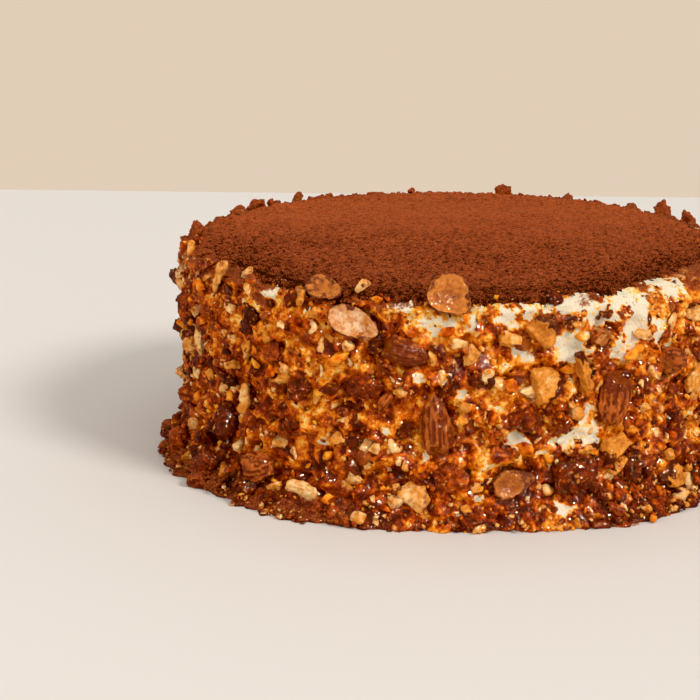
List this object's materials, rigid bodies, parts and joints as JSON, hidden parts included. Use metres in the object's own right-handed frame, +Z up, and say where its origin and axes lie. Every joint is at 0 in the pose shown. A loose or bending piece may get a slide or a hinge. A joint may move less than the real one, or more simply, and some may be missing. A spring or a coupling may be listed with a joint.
{
  "type": "tiramisu cake",
  "caption": "Round tiramisu cake with a cocoa-dusted top, its side coated in cream and chopped caramelised almonds.",
  "frame": {"origin": "centre of the cake's foot, on the surface that it stands on", "axes": "+Z up through the cake; -Y towards the side that the picture shows"},
  "size_m": [0.2106, 0.2091, 0.0835],
  "materials": {
    "cream": "soft whipped cream, stained by caramel and set with praline crumbs",
    "cocoa": "dry cocoa powder",
    "cut_almond": "cut face of a roasted almond",
    "toasted_almond": "broken roasted almond with a thin caramel glaze",
    "almond_skin": "brown almond skin, grooved, part glazed",
    "dark_caramel": "glossy dark caramel praline"
  },
  "bodies": {
    "root": {"almond_04": "almond_skin", "almond_09": "almond_skin", "almond_13": "almond_skin", "almond_14": "almond_skin", "almond_17": "almond_skin", "almond_29": "almond_skin", "almond_33": "almond_skin", "cake": "cream", "caramel_08": "dark_caramel", "caramel_11": "dark_caramel", "caramel_15": "dark_caramel", "caramel_19": "dark_caramel", "caramel_20": "dark_caramel", "caramel_22": "dark_caramel", "caramel_23": "dark_caramel", "caramel_24": "dark_caramel", "caramel_26": "dark_caramel", "caramel_27": "dark_caramel", "caramel_28": "dark_caramel", "caramel_39": "dark_caramel", "chunk_05": "toasted_almond", "chunk_07": "toasted_almond", "chunk_10": "toasted_almond", "chunk_12": "toasted_almond", "chunk_16": "toasted_almond", "chunk_30": "toasted_almond", "chunk_34": "toasted_almond", "chunk_36": "toasted_almond", "chunk_38": "toasted_almond", "cocoa_layer": "cocoa", "shard_06": "toasted_almond", "shard_18": "toasted_almond", "shard_21": "toasted_almond", "shard_31": "toasted_almond", "shard_37": "toasted_almond", "shard_41": "toasted_almond", "slice_01": "cut_almond", "slice_02": "cut_almond", "slice_03": "cut_almond", "slice_25": "cut_almond", "slice_32": "cut_almond", "slice_35": "cut_almond", "slice_40": "cut_almond"}
  },
  "joints": []
}
